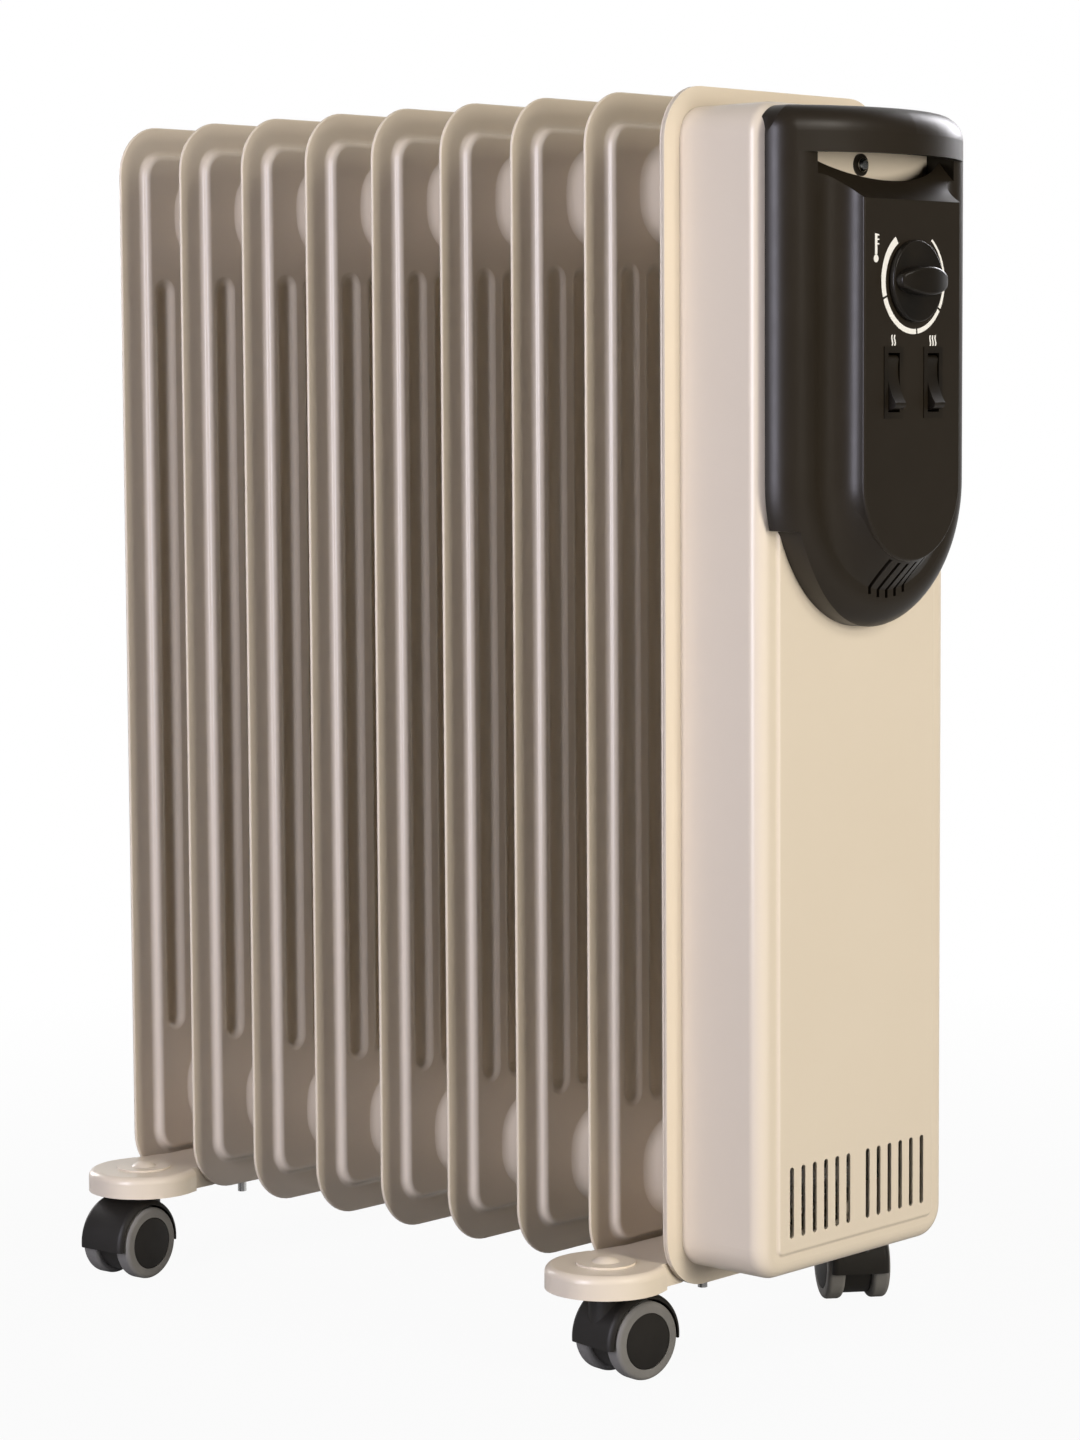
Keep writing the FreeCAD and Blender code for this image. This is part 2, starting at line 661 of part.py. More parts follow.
def console_outline():
    """Front outline: round top corners, straight sides, round skirt, notch and curved tongue."""
    half = CONSOLE_HALF
    corner = COVER_CORNER - CONSOLE_INSET
    top = CONSOLE_TOP
    turn = math.asin((FACE_ARC_Z - top + SKIRT_END) / half)
    bend = (half * math.cos(turn / 2), FACE_ARC_Z - half * math.sin(turn / 2))
    skirt = (half * math.cos(turn), top - SKIRT_END)
    notch = (skirt[0] - NOTCH_RUN, skirt[1] - NOTCH_STEP)
    x = COVER_X - CONSOLE_WRAP - PAST
    edges = [Part.makeLine(V(x, corner - half, top), V(x, half - corner, top))]
    for side in SIDES.values():
        rows = [corner_arc((half - corner, top), (half, top), (half, top - corner))]
        rows.append(((half, top - corner), (half, FACE_ARC_Z)))
        rows.append(((half, FACE_ARC_Z), bend, skirt))
        rows.append((skirt, notch))
        for row in rows:
            points = [V(x, side * y, z) for y, z in row]
            edges.append(Part.makeLine(*points) if len(points) == 2 else Part.Arc(*points).toShape())
    curve = Part.BezierCurve()
    pull = (TONGUE_FULLNESS * notch[0], (4 * (top - TONGUE_DROP) - notch[1]) / 3)
    poles = [(-notch[0], notch[1]), (-pull[0], pull[1]), pull, notch]
    curve.setPoles([V(x, y, z) for y, z in poles])
    edges.append(curve.toShape())
    face = Part.Face(Part.Wire(Part.__sortEdges__(edges)))
    return face.extrude(V(CONSOLE_WRAP + CONSOLE_RISE + VISOR_RISE, 0, 0))


def visor_block(wall, z0, z1, top_edge):
    """The bowed visor, its ends run into the rolled rim, drawn in by a wall, round along its top edge."""
    path = bowed_quarter(CONSOLE_HALF, VISOR_RISE, CONSOLE_ROLL, wall)
    path.append((path[-1][-1], (0, 0)))
    path.append(((0, 0), path[0][0]))
    half = path_face(path, lambda y, rise: V(COVER_X + rise, y, z0)).extrude(V(0, 0, z1 - z0))
    block = fuse_all([half, half.mirror(V(0, 0, 0), V(0, 1, 0))])
    rim = [e for e in block.Edges if e.BoundBox.ZMin > z1 - LEVEL and e.BoundBox.XMax > COVER_X + LEVEL]
    return block.makeFillet(top_edge, rim)


def visor():
    seat = CONSOLE_HALF - CONSOLE_LIP
    wrap = box(COVER_X - CONSOLE_WRAP, COVER_X, -seat, seat, VISOR_LOW, CONSOLE_TOP)
    return visor_block(0, VISOR_LOW, CONSOLE_TOP, VISOR_TOP_EDGE).fuse(wrap)


def finger_pocket():
    """The hand hold: a slot behind the nose that runs up inside the visor."""
    back = COVER_X - CONSOLE_WRAP - PAST
    front = COVER_X + CONSOLE_RISE + VISOR_RISE
    floor = CONSOLE_TOP - POCKET_FLOOR
    roof = CONSOLE_TOP - VISOR_WALL
    fall = POCKET_DEPTH - POCKET_SIDE_DEPTH
    radius = (POCKET_HALF ** 2 + fall ** 2) / (2 * fall)
    slot = rod_z(radius, floor, VISOR_LOW + PAST, COVER_X + POCKET_DEPTH - radius, 0)
    lip = visor_block(VISOR_WALL, VISOR_LOW - PAST, roof, VISOR_TOP_EDGE - VISOR_WALL)
    behind = box(back, COVER_X, -POCKET_HALF, POCKET_HALF, floor, roof)
    window = box(back, front, -POCKET_HALF, POCKET_HALF, floor, CONSOLE_TOP)
    return fuse_all([slot, lip, behind]).common(window)


def nose_slope():
    """What is cut away above the hollow top of the nose, between the ends of the finger gap."""
    top = CONSOLE_TOP + PAST
    far = COVER_X + CONSOLE_RISE + VISOR_RISE
    crease = CONSOLE_TOP - FACE_TOP
    end = FACE_X - NECK_BACK
    path = [((FACE_X, crease), (FACE_X - NECK_MID_BACK, crease + NECK_MID_RISE), (end, VISOR_LOW))]
    path.append(((end, VISOR_LOW), (end, top)))
    path.append(((end, top), (far, top)))
    path.append(((far, top), (far, crease)))
    path.append(((far, crease), (FACE_X, crease)))
    face = path_face(path, lambda x, z: V(x, -POCKET_HALF, z))
    return face.extrude(V(0, 2 * POCKET_HALF, 0))


def nose_room():
    """The space for the thermostat and switches, open to the cover."""
    half = FACE_HALF_WIDTH - SHELL_WALL
    back = COVER_X - CONSOLE_WRAP - PAST
    front = FACE_X - FACE_WALL
    top = CONSOLE_TOP - FACE_TOP - SHELL_WALL
    return fuse_all([box(back, front, -half, half, FACE_ARC_Z, top), rod_x(half, back, front, 0, FACE_ARC_Z)])


def nose_vents():
    """Slots down the slope under the face, each started from the face's round lower edge."""
    along = V(-1, 0, -1).normalize()
    out = V(1, 0, -1).normalize()
    cutters = []
    for index in range(NOSE_VENT_COUNT):
        y = (index - (NOSE_VENT_COUNT - 1) / 2) * NOSE_VENT_PITCH
        edge = FACE_ARC_Z - math.sqrt(FACE_HALF_WIDTH ** 2 - y ** 2)
        start = V(FACE_X - FACE_EDGE, y - NOSE_VENT_WIDTH / 2, edge) + along * NOSE_VENT_START
        end = start + along * NOSE_VENT_LENGTH
        over = out * NOSE_VENT_DEPTH
        corners = [start - over, end - over, end + over, start + over]
        face = Part.Face(Part.makePolygon(corners + corners[:1]))
        cutters.append(face.extrude(V(0, NOSE_VENT_WIDTH, 0)))
    return cutters


def make_console():
    body = console_nose().cut(nose_slope())
    body = body.fuse(visor()).common(console_outline())
    cutters = [finger_pocket(), nose_room(), cover_block(-CONSOLE_FIT)]
    cutters += nose_vents()
    cutters.append(rod_x(BUSH_RADIUS + BUSH_FIT, FACE_X - 2 * FACE_WALL, FACE_X + PAST, 0, DIAL_Z))
    for side in SIDES.values():
        cutters.append(switch_box(side, SWITCH_FIT, FACE_X - 2 * FACE_WALL, FACE_X + PAST))
    for y, z in fixing_places():
        cutters.append(rod_x(FIXING_RADIUS, COVER_X - CONSOLE_WRAP, COVER_X + FIXING_GRIP, y, z))
    export("console", body.cut(cutters).removeSplitter())


# Thermostat, knob and rocker switches

def make_thermostat():
    back = FACE_X - FACE_WALL - THERMOSTAT_DEPTH
    front = FACE_X - FACE_WALL
    half = THERMOSTAT_HALF
    body = box(back, front, -half, half, DIAL_Z - half, DIAL_Z + half)
    body = body.makeFillet(THERMOSTAT_EDGE, [e for e in body.Edges if abs(e.tangentAt(0).x) > 0.9])
    body = body.fuse(rod_x(BUSH_RADIUS, front, FACE_X - BUSH_BELOW_FACE, 0, DIAL_Z))
    seat = front - SHAFT_INTO_BODY
    body = body.cut(rod_x(SHAFT_RADIUS + SHAFT_FIT, seat, FACE_X, 0, DIAL_Z))
    export("thermostat_body", body)
    knob_back = FACE_X + KNOB_GAP
    export("thermostat_shaft", rod_x(SHAFT_RADIUS, seat + SHAFT_FIT, knob_back + SHAFT_INTO_KNOB, 0, DIAL_Z))


def knob_grip():
    """The bar grip: widest and highest in the middle, drawn in towards its round ends."""
    back = FACE_X + KNOB_GAP
    top = back + KNOB_HEIGHT
    path = []
    for side_y in (-1, 1):
        for side_z in (-1, 1):
            for arc in bowed_quarter(GRIP_REACH, GRIP_HALF_WIDTH, GRIP_END_ROUND, 0):
                path.append([(side_y * y, side_z * z) for y, z in arc])
    bar = path_face(path, lambda y, z: V(back + KNOB_EDGE, y, DIAL_Z + z)).extrude(V(KNOB_HEIGHT, 0, 0))
    crown = (GRIP_REACH ** 2 + GRIP_CROWN ** 2) / (2 * GRIP_CROWN)
    bar = bar.common(rod_z(crown, DIAL_Z - GRIP_REACH, DIAL_Z + GRIP_REACH, top - crown, 0))
    rim = [e for e in bar.Edges if e.BoundBox.XMin > back + KNOB_BASE]
    return bar.makeFillet(GRIP_EDGE, rim)


def make_knob():
    back = FACE_X + KNOB_GAP
    base = rod_x(KNOB_RADIUS, back, back + KNOB_BASE, 0, DIAL_Z)
    rim = [e for e in base.Edges if e.Closed and e.BoundBox.XMin > back + KNOB_BASE / 2]
    base = base.makeFillet(KNOB_EDGE, rim)
    bore = rod_x(SHAFT_RADIUS + SHAFT_SEAT_FIT, back, back + SHAFT_INTO_KNOB, 0, DIAL_Z)
    export("knob", base.fuse(knob_grip()).cut(bore))


def switch_cavity_half():
    return math.hypot(ROCKER_HALF_LENGTH, ROCKER_END_RISE) + ROCKER_END_GAP


def switch_box(side, grow, x0, x1):
    y = side * ROCKER_OFFSET
    half_y = ROCKER_HALF_WIDTH + ROCKER_SIDE_GAP + SWITCH_WALL + grow
    half_z = switch_cavity_half() + SWITCH_WALL + grow
    return box(x0, x1, y - half_y, y + half_y, ROCKER_Z - half_z, ROCKER_Z + half_z)


def make_switch_body(name, side):
    y = side * ROCKER_OFFSET
    body = switch_box(side, 0, FACE_X - SWITCH_DEPTH, FACE_X)
    frame = switch_box(side, SWITCH_FRAME, FACE_X, FACE_X + SWITCH_FRAME_RISE)
    half_y = ROCKER_HALF_WIDTH + ROCKER_SIDE_GAP
    half_z = switch_cavity_half()
    pivot = FACE_X - PIVOT_BELOW_FACE
    room = box(pivot - SWITCH_ROOM, FACE_X + SWITCH_FRAME_RISE, y - half_y, y + half_y,
               ROCKER_Z - half_z, ROCKER_Z + half_z)
    reach = half_y + ROCKER_PIN_INTO_WALL + ROCKER_PIN_FIT
    pin = rod_y(ROCKER_PIN_RADIUS + ROCKER_PIN_FIT, y - reach, y + reach, pivot, ROCKER_Z)
    export("switch_body_" + name, body.fuse(frame).cut([room, pin]))


def make_rocker(name, side):
    """A rocker at rest, its lower end standing out."""
    y = side * ROCKER_OFFSET
    pivot = FACE_X - PIVOT_BELOW_FACE
    end = ROCKER_HALF_LENGTH
    nose = end - ROCKER_ROUND
    tip = ROCKER_END_RISE - ROCKER_ROUND
    path = [((ROCKER_END_RISE, -nose), (ROCKER_MID_RISE, 0), (ROCKER_END_RISE, nose))]
    path.append(corner_arc((ROCKER_END_RISE, nose), (ROCKER_END_RISE, end), (tip, end)))
    path.append(((tip, end), (-ROCKER_MID_RISE, end)))
    path.append(((-ROCKER_MID_RISE, end), (-ROCKER_BACK, 0)))
    path.append(((-ROCKER_BACK, 0), (-ROCKER_MID_RISE, -end)))
    path.append(((-ROCKER_MID_RISE, -end), (tip, -end)))
    path.append(corner_arc((tip, -end), (ROCKER_END_RISE, -end), (ROCKER_END_RISE, -nose)))
    face = path_face(path, lambda x, z: V(pivot + x, y - ROCKER_HALF_WIDTH, ROCKER_Z + z))
    body = face.extrude(V(0, 2 * ROCKER_HALF_WIDTH, 0))
    reach = ROCKER_HALF_WIDTH + ROCKER_SIDE_GAP + ROCKER_PIN_INTO_WALL
    shape = body.fuse(rod_y(ROCKER_PIN_RADIUS, y - reach, y + reach, pivot, ROCKER_Z))
    shape.rotate(V(pivot, 0, ROCKER_Z), V(0, 1, 0), -ROCKER_TILT)
    export("rocker_" + name, shape)


# Heating element and the pieces round it

def tube_places():
    for split in (-1, 1):
        yield HUB_LOW + split * TUBE_SPLIT


def make_heater():
    neck_end = FRONT_FIN_X + HALF_PITCH
    gasket_end = neck_end + GASKET_THICK
    flange_end = gasket_end + FLANGE_THICK
    outer = NECK_RADIUS + FLANGE_OVERLAP
    spigot = NECK_RADIUS - SHEET - SPIGOT_FIT
    gasket = rod_x(outer, neck_end, gasket_end, 0, HUB_LOW)
    gasket = gasket.cut(rod_x(spigot, neck_end, gasket_end, 0, HUB_LOW))
    plate = rod_x(outer, gasket_end, flange_end, 0, HUB_LOW)
    plate = plate.fuse(rod_x(spigot, neck_end - SPIGOT_LENGTH, gasket_end, 0, HUB_LOW))
    bend_x = REAR_FIN_X + TUBE_END_CLEAR
    tail = flange_end + TUBE_TAIL
    elements = []
    holes = []
    for z in tube_places():
        bend = Part.makeTorus(TUBE_BEND_RADIUS, TUBE_RADIUS, V(bend_x, 0, z), V(0, 0, 1))
        keep = box(bend_x - FIN_PITCH, bend_x, -FIN_PITCH, FIN_PITCH, z - FIN_PITCH, z + FIN_PITCH)
        pieces = [bend.common(keep)]
        for side in SIDES.values():
            y = side * TUBE_BEND_RADIUS
            pieces.append(rod_x(TUBE_RADIUS, bend_x, tail, y, z))
            pieces.append(rod_x(PIN_RADIUS, tail, tail + PIN_LENGTH, y, z))
            holes.append(rod_x(TUBE_RADIUS + TUBE_FIT, neck_end - 2 * SPIGOT_LENGTH, tail, y, z))
        elements.append(fuse_all(pieces))
    export("heating_elements", Part.makeCompound(elements))
    export("heater_flange", plate.cut(holes))
    export("heater_gasket", gasket)


def make_cutout():
    x0 = FRONT_FIN_X + PANEL_RISE
    y = -SIDE_PIECE_Y
    wide = rod_x(CUTOUT_RADIUS, x0, x0 + CUTOUT_HEIGHT / 2, y, HUB_LOW)
    cap = rod_x(CUTOUT_RADIUS - CUTOUT_STEP, x0, x0 + CUTOUT_HEIGHT, y, HUB_LOW)
    export("thermal_cutout", wide.fuse(cap))


def make_terminal_block():
    x0 = FRONT_FIN_X + PANEL_RISE
    y = SIDE_PIECE_Y
    block = box(x0, x0 + BLOCK_DEPTH, y - BLOCK_WIDTH / 2, y + BLOCK_WIDTH / 2,
                HUB_LOW - BLOCK_HEIGHT / 2, HUB_LOW + BLOCK_HEIGHT / 2)
    wells = []
    for index in range(BLOCK_WELLS):
        z = HUB_LOW + (index - (BLOCK_WELLS - 1) / 2) * BLOCK_HEIGHT / BLOCK_WELLS
        wells.append(rod_x(BLOCK_WELL_RADIUS, x0 + BLOCK_DEPTH - BLOCK_WELL_DEPTH, x0 + BLOCK_DEPTH, y, z))
    export("terminal_block", block.cut(wells))


def gland_x():
    return FRONT_FIN_X + COVER_DEPTH / 2


def make_cord_gland():
    body = GLAND_BORE + GLAND_WALL
    head = GLAND_BORE + GLAND_HEAD_WALL
    top = COVER_LOW + GLAND_INSIDE
    low = COVER_LOW - GLAND_HEAD
    shape = rod_z(head, low, COVER_LOW, gland_x(), GLAND_OFFSET)
    shape = shape.fuse(rod_z(body, COVER_LOW, top, gland_x(), GLAND_OFFSET))
    export("cord_gland", shape.cut(rod_z(GLAND_BORE, low, top, gland_x(), GLAND_OFFSET)))


# Feet

def foot_plan(margin, z0, z1):
    """The bar and its two tapering pads in plan, drawn in by a margin."""
    shapes = [box(-BAR_HALF + margin, BAR_HALF - margin, -PAD_Y, PAD_Y, z0, z1)]
    radius = PAD_RADIUS - margin
    run = PAD_Y - FOOT_BAR_HALF_LENGTH
    half = BAR_HALF - margin
    reach = math.hypot(run, half)
    turn = math.acos(radius / reach) + math.atan2(half, run)
    touch = (radius * math.sin(turn), radius * math.cos(turn))
    for side in SIDES.values():
        shapes.append(rod_z(radius, z0, z1, 0, side * PAD_Y))
        corners = [(-half, FOOT_BAR_HALF_LENGTH), (half, FOOT_BAR_HALF_LENGTH)]
        corners += [(touch[0], PAD_Y - touch[1]), (-touch[0], PAD_Y - touch[1])]
        points = [V(x, side * y, z0) for x, y in corners]
        shapes.append(Part.Face(Part.makePolygon(points + points[:1])).extrude(V(0, 0, z1 - z0)))
    return fuse_all(shapes)


def fin_room():
    """Room for the seam flanges on both sides of the bar."""
    rooms = []
    reach = FIN_WIDTH / 2 + PAD_FIN_GAP
    for side in (-1, 1):
        near = side * (HALF_PITCH - SHEET - PAD_FIN_GAP)
        far = side * 2 * PAD_RADIUS
        rooms.append(box(min(near, far), max(near, far), -reach, reach, FOOT_LOW - PAST, FOOT_HIGH + PAST))
    return rooms


def foot():
    shape = foot_plan(0, FOOT_LOW, FOOT_HIGH)
    top = [e for e in shape.Edges if e.BoundBox.ZMin > FOOT_HIGH - LEVEL]
    shape = shape.makeFillet(PAD_EDGE, top)
    shape = shape.cut(fin_room())
    extras = []
    cutters = []
    for side in SIDES.values():
        y = side * PAD_Y
        extras.append(rod_z(PAD_RING_RADIUS, FOOT_HIGH - PAST, FOOT_HIGH + PAD_RING_RISE, 0, y))
        ball = (PAD_DOME_RADIUS ** 2 + PAD_DOME_RISE ** 2) / (2 * PAD_DOME_RISE)
        top = FOOT_HIGH + PAD_DOME_RISE
        dome = Part.makeSphere(ball, V(0, y, top - ball))
        extras.append(dome.common(rod_z(PAD_DOME_RADIUS + PAST, FOOT_HIGH - PAST, top + PAST, 0, y)))
        socket = STEM_RADIUS + STEM_FIT
        hollow = rod_z(PAD_RADIUS - PAD_WALL, FOOT_LOW - PAST, FOOT_HIGH - PAD_WALL, 0, y)
        hollow = hollow.cut(rod_z(socket + SOCKET_WALL, FOOT_LOW - PAST, FOOT_HIGH, 0, y))
        limit = side * (FIN_WIDTH / 2 + PAD_FIN_GAP + PAD_WALL)
        far = side * 2 * PAD_Y
        outside = box(-PAD_RADIUS, PAD_RADIUS, min(limit, far), max(limit, far), FOOT_LOW - PAST, FOOT_HIGH)
        cutters.append(hollow.common(outside))
        cutters.append(rod_z(socket, FOOT_LOW - PAST, FOOT_HIGH - SOCKET_ROOF, 0, y))
        cutters.append(rod_z(BOLT_RADIUS + BOLT_HOLE_FIT, FOOT_LOW - PAST, FOOT_HIGH + PAST, 0, side * BOLT_Y))
    saddle = box(-SADDLE_THICK / 2, SADDLE_THICK / 2, -SADDLE_HALF_LENGTH, SADDLE_HALF_LENGTH,
                 FOOT_HIGH - PAST, HUB_LOW)
    extras.append(saddle.cut(rod_x(NECK_RADIUS + SADDLE_FIT, -FIN_PITCH, FIN_PITCH, 0, HUB_LOW)))
    return shape.multiFuse(extras).cut(cutters)


def u_bolt():
    """A bent rod over the hub neck, its two legs down through the foot."""
    ring = Part.makeTorus(BOLT_Y, BOLT_RADIUS, V(0, 0, HUB_LOW), V(1, 0, 0))
    reach = BOLT_Y + 2 * BOLT_RADIUS
    top = ring.common(box(-reach, reach, -reach, reach, HUB_LOW, HUB_LOW + reach))
    legs = [rod_z(BOLT_RADIUS, FOOT_LOW - BOLT_TAIL, HUB_LOW, 0, side * BOLT_Y) for side in SIDES.values()]
    return fuse_all([top] + legs)


def wing_nut(y):
    z1 = FOOT_LOW
    z0 = z1 - NUT_HEIGHT
    half = WING_THICK / 2
    wing = box(-half, half, y - WING_REACH, y + WING_REACH, z0 - WING_HEIGHT / 2, z0 + WING_HEIGHT / 2)
    wing = wing.makeFillet(half * ROUND_SHARE, wing.Edges)
    shape = fuse_all([rod_z(NUT_RADIUS, z0, z1, 0, y), wing])
    return shape.cut(rod_z(BOLT_RADIUS + NUT_FIT, z0 - WING_HEIGHT, z1, 0, y))


def make_feet():
    shape = foot()
    bolts = []
    nuts = []
    for name, x in FOOT_X.items():
        export(name + "_foot", shape.translated(V(x, 0, 0)))
        bolts.append(u_bolt().translated(V(x, 0, 0)))
        for side in SIDES.values():
            nuts.append(wing_nut(side * BOLT_Y).translated(V(x, 0, 0)))
    export("foot_u_bolts", Part.makeCompound(bolts))
    export("wing_nuts", Part.makeCompound(nuts))


# Casters, each drawn with its stem on the Z axis and trailing to +X

def turned(path):
    """A solid turned about the wheel axle from a (distance, radius) path."""
    face = path_face(path, lambda s, r: V(TRAIL, s, WHEEL_RADIUS + r))
    return face.revolve(V(TRAIL, 0, WHEEL_RADIUS), V(0, 1, 0), 360)


def drum(radius, s0, s1, edge0, edge1):
    path = [((s0, 0), (s0, radius - edge0))]
    if edge0:
        path.append(corner_arc((s0, radius - edge0), (s0, radius), (s0 + edge0, radius)))
    path.append(((s0 + edge0, radius), (s1 - edge1, radius)))
    if edge1:
        path.append(corner_arc((s1 - edge1, radius), (s1, radius), (s1, radius - edge1)))
    path.append(((s1, radius - edge1), (s1, 0)))
    path.append(((s1, 0), (s0, 0)))
    return turned(path)


def wheel_face():
    return WHEEL_INNER + WHEEL_WIDTH


def caster_hood():
    body = drum(HOOD_RADIUS, -HOOD_HALF_WIDTH, HOOD_HALF_WIDTH, HOOD_EDGE, HOOD_EDGE)
    reach = 2 * HOOD_RADIUS
    low = WHEEL_RADIUS - HOOD_SKIRT
    body = body.common(box(TRAIL - reach, TRAIL + reach, -reach, reach, low, WHEEL_RADIUS + reach))
    collar_low = WHEEL_RADIUS + HOOD_RADIUS
    body = body.fuse(rod_z(STEM_BOSS_RADIUS, WHEEL_RADIUS, collar_low, 0, 0))
    web = WHEEL_INNER - WEB_GAP
    room = WHEEL_RADIUS + HOOD_GAP
    for s0, s1 in ((-wheel_face() - PAST, -web), (web, wheel_face() + PAST)):
        body = body.cut(drum(room, s0, s1, 0, 0))
    body = body.fuse(drum(WEB_RADIUS, -web, web, 0, 0))
    axle_hole = drum(AXLE_RADIUS, -web - PAST, web + PAST, 0, 0)
    stem_hole = rod_z(STEM_RADIUS, collar_low - STEM_GRIP, collar_low + PAST, 0, 0)
    return body.cut([axle_hole, stem_hole]).removeSplitter()


def caster_stem():
    low = WHEEL_RADIUS + HOOD_RADIUS
    top = FOOT_HIGH - SOCKET_ROOF - COLLAR_GAP
    stem = rod_z(STEM_RADIUS, low - STEM_GRIP, top, 0, 0)
    return stem.fuse(rod_z(COLLAR_RADIUS, low, FOOT_LOW - COLLAR_GAP, 0, 0))


def caster_axle():
    end = wheel_face() - WHEEL_CAP - AXLE_FIT
    return drum(AXLE_RADIUS, -end, end, 0, 0)


def wheel_hub():
    """The black wheel disc with its blind bore and slightly domed face."""
    rim = WHEEL_RADIUS - TYRE_DEPTH
    face = wheel_face()
    body = drum(rim, WHEEL_INNER, face - WHEEL_DOME, 0, HUB_EDGE)
    ball = (rim ** 2 + WHEEL_DOME ** 2) / (2 * WHEEL_DOME)
    crown = Part.makeSphere(ball, V(TRAIL, face - ball, WHEEL_RADIUS))
    crown = crown.common(drum(rim - HUB_EDGE, face - WHEEL_DOME - HUB_EDGE, face + PAST, 0, 0))
    bore = drum(AXLE_RADIUS + AXLE_FIT, WHEEL_INNER - PAST, face - WHEEL_CAP, 0, 0)
    return body.fuse(crown).cut(bore)


def wheel_tyre():
    face = wheel_face() - WHEEL_DOME
    ring = drum(WHEEL_RADIUS, WHEEL_INNER, face, TYRE_EDGE, TYRE_EDGE)
    return ring.cut(drum(WHEEL_RADIUS - TYRE_DEPTH, WHEEL_INNER - PAST, face + PAST, 0, 0))


def make_casters():
    wheel_parts = {"hub": wheel_hub(), "tyre": wheel_tyre()}
    pieces = {"hood": caster_hood(), "stem": caster_stem(), "axle": caster_axle()}
    for part_name, shape in wheel_parts.items():
        pieces[part_name + "_1"] = shape
        pieces[part_name + "_2"] = shape.mirror(V(0, 0, 0), V(0, 1, 0))
    for place, angle in TRAIL_ANGLES.items():
        end, side = place.split("_")
        for piece_name, shape in pieces.items():
            copy = shape.copy()
            copy.rotate(V(0, 0, 0), V(0, 0, 1), angle)
            copy.translate(V(FOOT_X[end], SIDES[side] * PAD_Y, 0))
            export("caster_%s_%s" % (place, piece_name), copy)


os.makedirs("parts", exist_ok=True)
make_fins()
make_end_cover()
make_cover_fixing()
make_console()
make_console_screws()
make_thermostat()
make_knob()
for side_name, side_sign in SIDES.items():
    make_switch_body(side_name, side_sign)
    make_rocker(side_name, side_sign)
make_heater()
make_cutout()
make_terminal_block()
make_cord_gland()
make_feet()
make_casters()
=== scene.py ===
import json
import math

import bpy
from mathutils import Matrix, Vector

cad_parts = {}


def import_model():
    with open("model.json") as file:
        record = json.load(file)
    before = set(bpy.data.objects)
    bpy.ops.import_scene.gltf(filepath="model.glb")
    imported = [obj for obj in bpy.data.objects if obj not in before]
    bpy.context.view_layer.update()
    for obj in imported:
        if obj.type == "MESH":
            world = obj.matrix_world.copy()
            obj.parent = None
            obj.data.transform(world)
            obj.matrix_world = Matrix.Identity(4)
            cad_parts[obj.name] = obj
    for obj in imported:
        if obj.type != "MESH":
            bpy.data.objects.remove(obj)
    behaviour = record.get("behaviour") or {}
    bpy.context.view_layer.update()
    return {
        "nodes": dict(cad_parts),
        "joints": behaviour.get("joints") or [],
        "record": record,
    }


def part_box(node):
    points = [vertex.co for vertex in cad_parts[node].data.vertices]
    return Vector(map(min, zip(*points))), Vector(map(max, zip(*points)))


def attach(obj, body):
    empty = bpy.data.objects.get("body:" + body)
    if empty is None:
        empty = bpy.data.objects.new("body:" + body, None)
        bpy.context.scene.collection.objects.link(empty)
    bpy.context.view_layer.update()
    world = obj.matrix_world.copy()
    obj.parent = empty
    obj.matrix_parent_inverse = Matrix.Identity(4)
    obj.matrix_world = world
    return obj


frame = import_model()
MM = 0.001

# Camera, as fitted to the photograph's 1080 by 1440 frame
PHOTO_LONG_SIDE = 1440
SENSOR = 36.0
FOCAL_PIXELS = 3699.6
CAMERA_AZIMUTH = 42.6354
CAMERA_ELEVATION = 5.1539
CAMERA_ROLL = -0.3456
CAMERA_DISTANCE = 2005.24 * MM
CAMERA_TARGET = Vector((-7.70, 0.0, 318.12)) * MM

# Colours, linear
WHITE = (1.0, 1.0, 1.0)
CREAM = (0.69, 0.607, 0.488)
CREAM_SHADE = (0.68, 0.596, 0.476)
CONSOLE_BLACK = (0.0170, 0.0128, 0.0080)
CONSOLE_BLACK_WORN = (0.0190, 0.0145, 0.0093)
CONTROL_BLACK = (0.006, 0.0048, 0.0032)
CASTER_BLACK = (0.012, 0.0105, 0.0085)
CASTER_BLACK_WORN = (0.018, 0.016, 0.013)
TYRE_GREY = (0.185, 0.178, 0.164)
TYRE_GREY_DARK = (0.155, 0.149, 0.138)
PLATED = (0.62, 0.62, 0.60)
SHEATH = (0.40, 0.38, 0.35)
INNER_WHITE = (0.60, 0.56, 0.48)
INK_WHITE = (0.83, 0.82, 0.78)
METAL_DULLING = 0.86
INK_THINNING = 0.93

# Surfaces: each noise is its scale and detail, each relief its strength and depth
NOISE_LOW = 0.3
NOISE_HIGH = 0.7
PAINT_MOTTLE = (9.0, 3.0)
PAINT_CLOUD = (55.0, 3.0)
PAINT_PEEL = (620.0, 1.0)
PAINT_RELIEF = (0.05, 0.4 * MM)
PAINT_ROUGHNESS = (0.28, 0.31)
PAINT_SHEEN = 0.5
PLASTIC_MOTTLE = (30.0, 4.0)
PLASTIC_CLOUD = (110.0, 3.0)
PLASTIC_GRAIN_DETAIL = 2.0
PLASTIC_RELIEF_DEPTH = 0.3 * MM
PLASTIC_SHEEN = 0.36
RUBBER_MOTTLE = (60.0, 4.0)
RUBBER_CLOUD = (300.0, 2.0)
RUBBER_GRAIN = (1500.0, 1.0)
RUBBER_RELIEF = (0.12, 0.3 * MM)
RUBBER_ROUGHNESS = (0.55, 0.72)
METAL_MOTTLE = (180.0, 3.0)
METAL_CLOUD = (400.0, 3.0)
INK_MOTTLE = (900.0, 2.0)
INK_ROUGHNESS = 0.5

